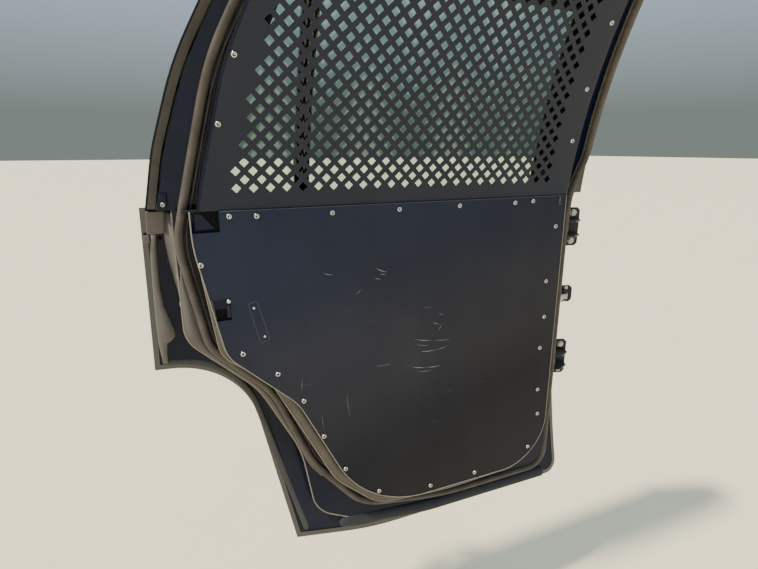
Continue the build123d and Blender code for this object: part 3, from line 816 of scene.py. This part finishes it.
# Window guard, with its edges broken
guard = make_guard()
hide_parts("window_guard")
edge_break = guard.modifiers.new("edge_break", "BEVEL")
edge_break.width = 0.35 * MM
edge_break.segments = 1
edge_break.limit_method = "ANGLE"
edge_break.angle_limit = math.radians(50)

# Dome section of a blind rivet's head, round its hollow stem: share of its radius, share of its height
DOME = ((1.0, 0.0), (1.0, 0.10), (0.95, 0.45), (0.84, 0.80), (0.68, 1.0), (0.56, 0.92), (0.52, 0.20))
DOME_SIDES = 20


def domes(name, places, radius, height, material, slot):
    """Round-headed fasteners at (point, direction) places."""
    vertices = []
    faces = []
    for point, normal in places:
        side = normal.cross(Vector((0, 0, 1))).normalized()
        up = side.cross(normal)
        start = len(vertices)
        for share, rise in DOME:
            for segment in range(DOME_SIDES):
                angle = 2 * math.pi * segment / DOME_SIDES
                around = side * math.cos(angle) + up * math.sin(angle)
                vertices.append(point + (around * share * radius + normal * rise * height) * MM)
        vertices.append(point + normal * 0.2 * height * MM)
        top = len(vertices) - 1
        for segment in range(DOME_SIDES):
            beside = (segment + 1) % DOME_SIDES
            for low in range(start, top - DOME_SIDES, DOME_SIDES):
                high = low + DOME_SIDES
                faces.append((low + segment, low + beside, high + beside, high + segment))
            last = top - DOME_SIDES
            faces.append((last + segment, last + beside, top))
        faces.append(tuple(start + segment for segment in range(DOME_SIDES)))
    return add_piece(name, vertices, faces, material, smooth=True)


INBOARD = Vector((0, 1, 0))


def on_sheet(x, z):
    """Place and inboard direction of a fastener on the guard's near face."""
    turn = math.asin((z - BEND) / guard_r)
    return on_guard(x, arc_at(z), guard_r), Vector((0, math.cos(turn), -math.sin(turn)))


panel_places = [(spot(x, 0, z), INBOARD) for x, z in PANEL_RIVETS]
guard_places = [on_sheet(x, z) for x, z in GUARD_RIVETS]
domes("panel_rivets", panel_places, RIVET_R, RIVET_H, rivet_metal, "zinc_steel")
domes("guard_rivets", guard_places, RIVET_R, RIVET_H, rivet_metal, "zinc_steel")
# Black domes set off-centre in the rivets' hollows: painted shade.
hole_shade_shift = Vector(HOLE_SHADE_SHIFT) * MM
hole_shade_places = [(point + hole_shade_shift, normal) for point, normal in panel_places + guard_places]
domes("rivet_hole_shade", hole_shade_places, HOLE_SHADE_SHARE * RIVET_R, HOLE_SHADE_RISE * RIVET_H, black_and_painted_shade, "zinc_steel")

# Door seal: a bulb on the ledge, with a thin lip inside it


def on_seal_foot(rise, z):
    """Depth above the seal's foot, just clear of the ledge."""
    return on_ledge(rise + SEAL_LIFT, z)


seal_path = rounded_path(SEAL_CORNERS, True, 9)
bulb = half_round(SEAL_W, SEAL_HEIGHT)
seal = strip("door_seal", seal_path, True, bulb, on_seal_foot, dusty_rubber)
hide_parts("weatherstrip")

# Section of the bead on the panel's edge: across from the edge, rise above the panel
BEAD_SECTION = (
    (0.8, 0), (0.8, 0.8), (-0.3, 1.1), (-1.5, 0.5),
    (-1.8, -1.5), (-1.5, -3.4), (-0.3, -3.8), (0.8, -3.7),
)

# Section of a low ridge before it is sized: across, rise, and its width
RIDGE_W = 3.2
RIDGE = ((1.6, 0), (1.3, 0.7), (0, 1.0), (-1.3, 0.7), (-1.6, 0))


def ridge(width, height):
    """Section of a low rounded ridge."""
    return [(across * width / RIDGE_W, rise * height) for across, rise in RIDGE]


lip_section = [(across - LIP_IN, rise) for across, rise in ridge(*LIP_RIDGE)]
strip("seal_lip", seal_path, True, lip_section, on_seal_foot, dusty_rubber)

# Rims of the ledge and of the ring behind the panel, light with dust and a painted highlight, the ring's
# dust, and the arch's ridge in lighter paint as a painted highlight
ledge_path = rounded_path(LEDGE_CORNERS, False, 6)
strip("ledge_rim", ledge_path, False, ridge(*LEDGE_RIDGE), on_ledge, dust_and_highlight_ridge, blunt=3)
ring_path = rounded_path(RING_CORNERS, False, 6)
parting = next(index for index, point in enumerate(ring_path) if point.y < DUST_PARTS)
dusty_parts = (
    ("rear", ring_path[:parting + 1], DUST_REAR_IN),
    ("arch", ring_path[parting:], DUST_ARCH_IN),
)
for part, dusty_path, inner in dusty_parts:
    ring_section = [(-0.5, 0), (-0.5, 0.5), (inner, 0.5), (inner, 0)]
    strip(f"ring_dust_{part}", dusty_path, False, ring_section, on_ring, ring_dirt)
strip("ring_rim", ring_path, False, ridge(*RING_RIDGE), on_ring, dust_and_highlight_ridge, blunt=3)
arch_path = rounded_path(ARCH_CORNERS, False, 6)
strip("arch_ridge", arch_path, False, ridge(*ARCH_RIDGE), on_shelf, arch_highlight_paint, blunt=8)

# Panel with its edge bead
panel_path = rounded_path(PANEL_CORNERS, False, 5)
# The bead's light colour is dust and a painted highlight along the panel's edge.
strip("edge_bead", panel_path, False, BEAD_SECTION, on_panel, dust_and_highlight_ridge)


def make_panel():
    """Flat panel with its hand hole cut in from the upper corner and its notch from the rear edge."""
    edge = [(point.x, point.y) for point in rounded_path(PANEL_CORNERS, False, 8)]
    notch_low, notch_high = NOTCH
    below = [corner for corner in edge if corner[0] < NOTCH_FRONT or corner[1] < notch_low]
    above = [corner for corner in edge if corner[0] > NOTCH_FRONT and notch_high < corner[1] < BELT - HAND_H]
    rear_low = max(corner[0] for corner in edge if abs(corner[1] - notch_low) < 8)
    rear_high = max(corner[0] for corner in edge if abs(corner[1] - notch_high) < 8)
    notch = [
        (rear_low, notch_low),
        (NOTCH_FRONT, notch_low),
        (NOTCH_FRONT, notch_high),
        (rear_high, notch_high),
    ]
    hand = [(edge[-1][0], BELT - HAND_H), (HAND_FRONT, BELT - HAND_H), (HAND_FRONT, BELT)]
    outline = below + notch + above + hand
    rings = [[spot(x, depth, z) for x, z in outline] for depth in (0, PANEL_T)]
    plate = loft("riveted_panel", rings, False, powder_scratches_and_reflection)
    for polygon in plate.data.polygons:
        polygon.use_smooth = False
    return plate


panel = make_panel()
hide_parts("lower_panel")
soften(panel, 0.5)

# Strip along the bottom edge, and the dusty floor beside the seal
rocker_path = rounded_path(ROCKER_CORNERS, False, 3)
rocker_section = half_round(*ROCKER_SIZE)
strip("rocker_strip", rocker_path, False, rocker_section, on_shelf, strip_rubber, blunt=14)

rim_points = rounded_path(LEDGE_CORNERS, False, 3)


def dusty_rings():
    """Sections of the ledge's dusty floor between the seal and the rim, along the rear and the arch."""
    rings = []
    for before, here, after in zip(seal_path, seal_path[1:], seal_path[2:]):
        along = (after - before).normalized()
        outward = Vector((-along.y, along.x))
        foot = here + outward * SEAL_W / 2
        if here.x < DUST_FRONT or not DUST_LOW < here.y < DUST_HIGH:
            continue
        lower_share = max(0.1, (here.y - DUST_LOW) / DUST_LOW_TAPER)
        upper_share = max(0.2, (DUST_HIGH - here.y) / DUST_HIGH_TAPER)
        share = min(1, lower_share, upper_share)
        beyond = [point for point in rim_points if (point - foot).dot(outward) > 0]
        rim = min(beyond, key=lambda point: abs((point - foot).dot(along)))
        rim = foot.lerp(rim, share)
        rings.append([
            spot(foot.x, on_ledge(-0.5, foot.y), foot.y),
            spot(foot.x, on_ledge(2.5, foot.y), foot.y),
            spot(rim.x, on_ledge(0.8, rim.y), rim.y),
            spot(rim.x, on_ledge(-0.5, rim.y), rim.y),
        ])
    return rings


loft("ledge_floor", dusty_rings(), False, dusty_paint)

# Rear shelf: pressed rib, slope beside the ledge, block, clip, plug and the screw of the corner cap

def rib_ring(z, outer, inner, foot):
    """Section of the rear shelf's pressed rib at a height."""
    section = (
        (outer, -foot), (outer - 0.5, 0.5 * RIB_RISE), (outer - 3, RIB_RISE),
        (inner + 3, RIB_RISE), (inner + 0.5, 0.5 * RIB_RISE), (inner, -1),
    )
    return [spot(x, on_shelf(rise, z), z) for x, rise in section]


loft("shelf_rib", [rib_ring(*row, SHELF_STEP) for row in RIB], False, dusty_paint)


def slope_ring(z, outer):
    """Section of the dusty slope from the ledge's rim out to the shelf."""
    rim_depth = on_ledge(-0.4, z)
    return [
        spot(LEDGE_REAR - 0.5, rim_depth + 4, z),
        spot(LEDGE_REAR + 0.6, rim_depth, z),
        spot(LEDGE_REAR + 0.3 * (outer - LEDGE_REAR), 0.5 * (rim_depth + on_shelf(0, z)), z),
        spot(outer, on_shelf(0, z), z),
        spot(LEDGE_REAR - 0.5, on_shelf(-0.5, z), z),
    ]


loft("ledge_slope", [slope_ring(*row) for row in SLOPE], False, dusty_paint)


def flat_plate(name, corners, depth_at, low, high, material):
    """Plate over a polygon on the side view, between two rises."""
    rings = [[spot(x, depth_at(rise, z), z) for x, z in corners] for rise in (low, high)]
    plate = loft(name, rings, False, material)
    for polygon in plate.data.polygons:
        polygon.use_smooth = False
    return plate


head = flat_plate("shelf_block", RIB_HEAD, on_shelf, -SHELF_STEP, RIB_RISE, dusty_paint)
soften(head, 1.5)
clip = flat_plate("shelf_clip", SHELF_CLIP, on_shelf, -1, CLIP_RISE, dusty_paint)
soften(clip, 1.0)
dot_place = spot(SHELF_DOT[0], on_shelf(0, SHELF_DOT[1]), SHELF_DOT[1])
domes("shelf_dot", [(dot_place, INBOARD)], *SHELF_DOT_HEAD, black_and_painted_shade, "rubber")
cap_place = spot(CAP_SCREW[0], cap_face + 1.0, CAP_SCREW[1])
domes("cap_screw", [(cap_place, INBOARD)], *CAP_SCREW_HEAD, zinc_metal, "zinc_steel")
flat_plate("belt_corner", BELT_CORNER, on_ledge, -0.5, BELT_CORNER_RISE, body_paint)

# Black plates of painted shade in the depths of the hand hole and of the notch, with a lip and a tab
flat_plate("hand_hole_shade", HAND_HOLE_SHADE, on_ring, 0, SHADE_PLATE_RISE, black_and_painted_shade)
flat_plate("hand_lip", HAND_LIP, on_ring, SHADE_PLATE_RISE, HAND_LIP_RISE, body_paint)
flat_plate("notch_shade", NOTCH_SHADE, on_ring, 0, SHADE_PLATE_RISE, black_and_painted_shade)
flat_plate("notch_tab", NOTCH_TAB, on_ring, 0, NOTCH_TAB_RISE, powder_plain)
notch_place = spot(NOTCH_RIVET[0], -0.2, NOTCH_RIVET[1])
domes("notch_rivet", [(notch_place, INBOARD)], *NOTCH_RIVET_HEAD, rivet_metal, "zinc_steel")

# Riveted oblong plate: a thin raised outline in lighter powder as a painted highlight, with two small rivets
oblong_path = rounded_path(OBLONG, True, 3)
strip("plate_outline", oblong_path, True, ridge(*OUTLINE_RIDGE), on_panel, powder_highlight)
oblong_rivets = [(spot(x, 0, z), INBOARD) for x, z in OBLONG_RIVETS]
domes("plate_rivets", oblong_rivets, *OBLONG_RIVET_HEAD, rivet_metal, "zinc_steel")


def scratch_marks():
    """Bright scratches on the flat panel, as slivers with pointed ends."""
    vertices = []
    faces = []
    for ax, az, bx, bz, width in SCRATCHES:
        start = Vector((ax, az))
        end = Vector((bx, bz))
        along = (end - start).normalized()
        across = Vector((-along.y, along.x)) * width / 2
        bow = Vector((-along.y, along.x)) * 0.03 * (end - start).length
        middle = (start + end) / 2 + bow
        outline = (start, middle + across, end, middle - across)
        base = len(vertices)
        for rise in (-0.05, 0.06):
            vertices += [spot(place.x, -rise, place.y) for place in outline]
        faces.append((base, base + 1, base + 2, base + 3))
        faces.append((base + 4, base + 5, base + 6, base + 7))
        for side in range(4):
            after = (side + 1) % 4
            faces.append((base + side, base + after, base + 4 + after, base + 4 + side))
    return add_piece("panel_scratches", vertices, faces, scratch_white)


scratch_marks()

# Light edge along the panel's top as a painted highlight, and a small bracket at its front corner
top_path = rounded_path(((922, BELT - 1.2, 0), (96, BELT - 1.2, 0)), False, 60)
strip("panel_top_highlight", top_path, False, ridge(*TOP_RIDGE), on_panel, powder_highlight)
flat_plate("corner_tab", CORNER_TAB, on_panel, 0, TAB_RISE, dusty_paint)
flat_plate("corner_foot", CORNER_FOOT, on_panel, 0, TAB_RISE, powder_highlight)

# Fasteners that hold the hinges, the check link and the latch
open_turn = math.radians(OPENING)
hinge_axis = Vector(frame["joints"][0]["pos_m"])
pillar_x = Vector((math.cos(open_turn), math.sin(open_turn), 0))
pillar_y = Vector((-math.sin(open_turn), math.cos(open_turn), 0))


def on_pillar(height):
    """Bolt place on the face of what is bolted to the pillar."""
    level = Vector((hinge_axis.x, hinge_axis.y, 0))
    place = level + (pillar_x * PILLAR_FACE + pillar_y * PILLAR_MIDDLE) * MM
    return place + Vector((0, 0, height * MM))


def hex_heads(name, places, radius, height, body):
    """Hexagonal bolt heads with a washer, at (point, direction) places."""
    vertices = []
    faces = []
    layers = ((18, 1.3 * radius, 0, 0.25 * height), (6, radius, 0.25 * height, height))
    for point, normal in places:
        side = normal.cross(Vector((0, 0, 1))).normalized()
        up = side.cross(normal)
        for sides, reach, low, high in layers:
            start = len(vertices)
            for rise in (low, high):
                for segment in range(sides):
                    angle = 2 * math.pi * segment / sides
                    around = side * math.cos(angle) + up * math.sin(angle)
                    vertices.append(point + (around * reach + normal * rise) * MM)
            for segment in range(sides):
                beside = (segment + 1) % sides
                top = start + sides
                faces.append((start + segment, start + beside, top + beside, top + segment))
            faces.append(tuple(start + segment for segment in range(sides)))
            faces.append(tuple(start + sides + segment for segment in range(sides)))
    heads = add_piece(name, vertices, faces, zinc_metal)
    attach(heads, body)
    return heads


leaf_heights = [middle + end for middle in (0, HINGE_SPACING) for end in (-LEAF_BOLT, LEAF_BOLT)]
check_heights = (CHECK_HEIGHT - CHECK_BOLT, CHECK_HEIGHT + CHECK_BOLT)
axis_depth = (face_y * MM - hinge_axis.y) / MM
leaf_depth = axis_depth - DOOR_LEAF_MIDDLE
box_depth = axis_depth - CHECK_BOX_MIDDLE
forward = Vector((-1, 0, 0))
rearward = Vector((1, 0, 0))
pillar_places = [(on_pillar(height), pillar_x) for height in leaf_heights]
bracket_places = [(on_pillar(height), pillar_x) for height in check_heights]
door_places = [(spot(DOOR_LEAF_FACE, leaf_depth, height), forward) for height in leaf_heights]
box_places = [(spot(FRONT_WALL, box_depth, height), forward) for height in check_heights]
latch_places = [(spot(LEDGE_REAR, depth, z), rearward) for depth, z in LATCH_SCREWS]
hex_heads("pillar_bolts", pillar_places, *BOLT_HEAD, "pillar_side")
hex_heads("bracket_bolts", bracket_places, *BRACKET_BOLT_HEAD, "pillar_side")
hex_heads("door_bolts", door_places, *BOLT_HEAD, "door")
hex_heads("check_box_bolts", box_places, *CHECK_BOX_BOLT_HEAD, "door")
domes("latch_screws", latch_places, *LATCH_SCREW_HEAD, zinc_metal, "zinc_steel")

# Floor and light
floor_mesh = bpy.data.meshes.new("floor")
floor_corners = [(x * FLOOR_HALF, y * FLOOR_HALF, 0) for x, y in ((-1, -1), (1, -1), (1, 1), (-1, 1))]
floor_mesh.from_pydata(floor_corners, [], [(0, 1, 2, 3)])
floor = bpy.data.objects.new("floor", floor_mesh)
floor.location.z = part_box("outer_skin")[0].z - FLOOR_DROP * MM
bpy.context.scene.collection.objects.link(floor)
ground = Shader("floor_pale")
tone = ground.mix(ground.noise(2.0, 8), (0.86, 0.75, 0.51), (0.95, 0.84, 0.58))
ground.link(tone, ground.bsdf.inputs["Base Color"])
ground.set(Roughness=0.85)
floor_mesh.materials.append(ground.material)

world = bpy.data.worlds.new("studio")
world.use_nodes = True
bpy.context.scene.world = world
sky = world.node_tree
direction = sky.nodes.new("ShaderNodeTexCoord")
split = sky.nodes.new("ShaderNodeSeparateXYZ")
ramp = sky.nodes.new("ShaderNodeValToRGB")
sky.links.new(direction.outputs["Generated"], split.inputs["Vector"])
sky.links.new(split.outputs["Z"], ramp.inputs["Fac"])
sky.links.new(ramp.outputs["Color"], sky.nodes["Background"].inputs["Color"])
stops = ramp.color_ramp.elements
stops[0].position = 0.06
stops[0].color = SKY_LOW
stops[1].position = 0.45
stops[1].color = SKY_HIGH
sky.nodes["Background"].inputs["Strength"].default_value = 1.0

sun_data = bpy.data.lights.new("sun", "SUN")
sun_data.energy = SUN_ENERGY
sun_data.color = SUN_COLOUR
sun_data.angle = math.radians(SUN_ANGLE)
sun = bpy.data.objects.new("sun", sun_data)
sun.rotation_euler = Vector(SUN_FROM).to_track_quat("Z", "Y").to_euler()
bpy.context.scene.collection.objects.link(sun)
